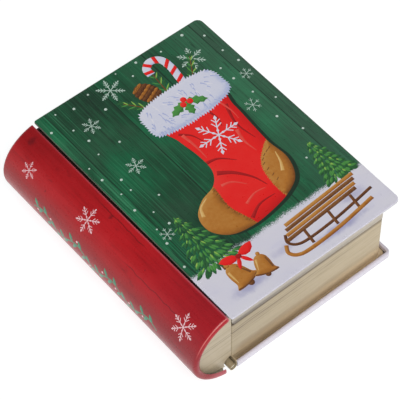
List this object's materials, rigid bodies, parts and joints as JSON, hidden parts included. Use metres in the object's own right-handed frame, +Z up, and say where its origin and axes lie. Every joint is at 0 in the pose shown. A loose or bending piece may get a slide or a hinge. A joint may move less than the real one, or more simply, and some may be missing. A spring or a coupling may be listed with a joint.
{
  "type": "book-shaped tin",
  "caption": "Sheet-metal keepsake box shaped like a closed book; the front cover and curved spine form a hinged lid over a page-block base in a back-cover tray.",
  "frame": {"origin": "middle of the bottom of the bounding box, on the surface the box lies on", "axes": "+X from the spine towards the fore-edge, +Y from the tail towards the head of the book, +Z up through the front cover"},
  "size_m": [0.1602, 0.19, 0.0575],
  "materials": {
    "cover_green": "glossy print over tinplate",
    "spine_red": "glossy print over tinplate",
    "page_tan": "satin print over tinplate",
    "cap_tan": "satin print over tinplate",
    "skirt_tan": "satin print over tinplate",
    "back_white": "glossy print over tinplate",
    "wire_steel": "bare wire"
  },
  "bodies": {
    "base": {"base_wall": "page_tan", "back_cover": "back_white", "hinge_wire": "wire_steel"},
    "lid": {"front_cover": "cover_green", "lid_frame": "skirt_tan", "spine_shell": "spine_red", "spine_cap_tail": "cap_tan", "spine_cap_head": "cap_tan"}
  },
  "joints": [
    {"name": "lid_hinge", "type": "hinge", "parent": "base", "child": "lid", "pos_m": [-0.0509, 0, 0.0025], "axis": [0, -1, 0], "range_deg": [0, 95]}
  ]
}
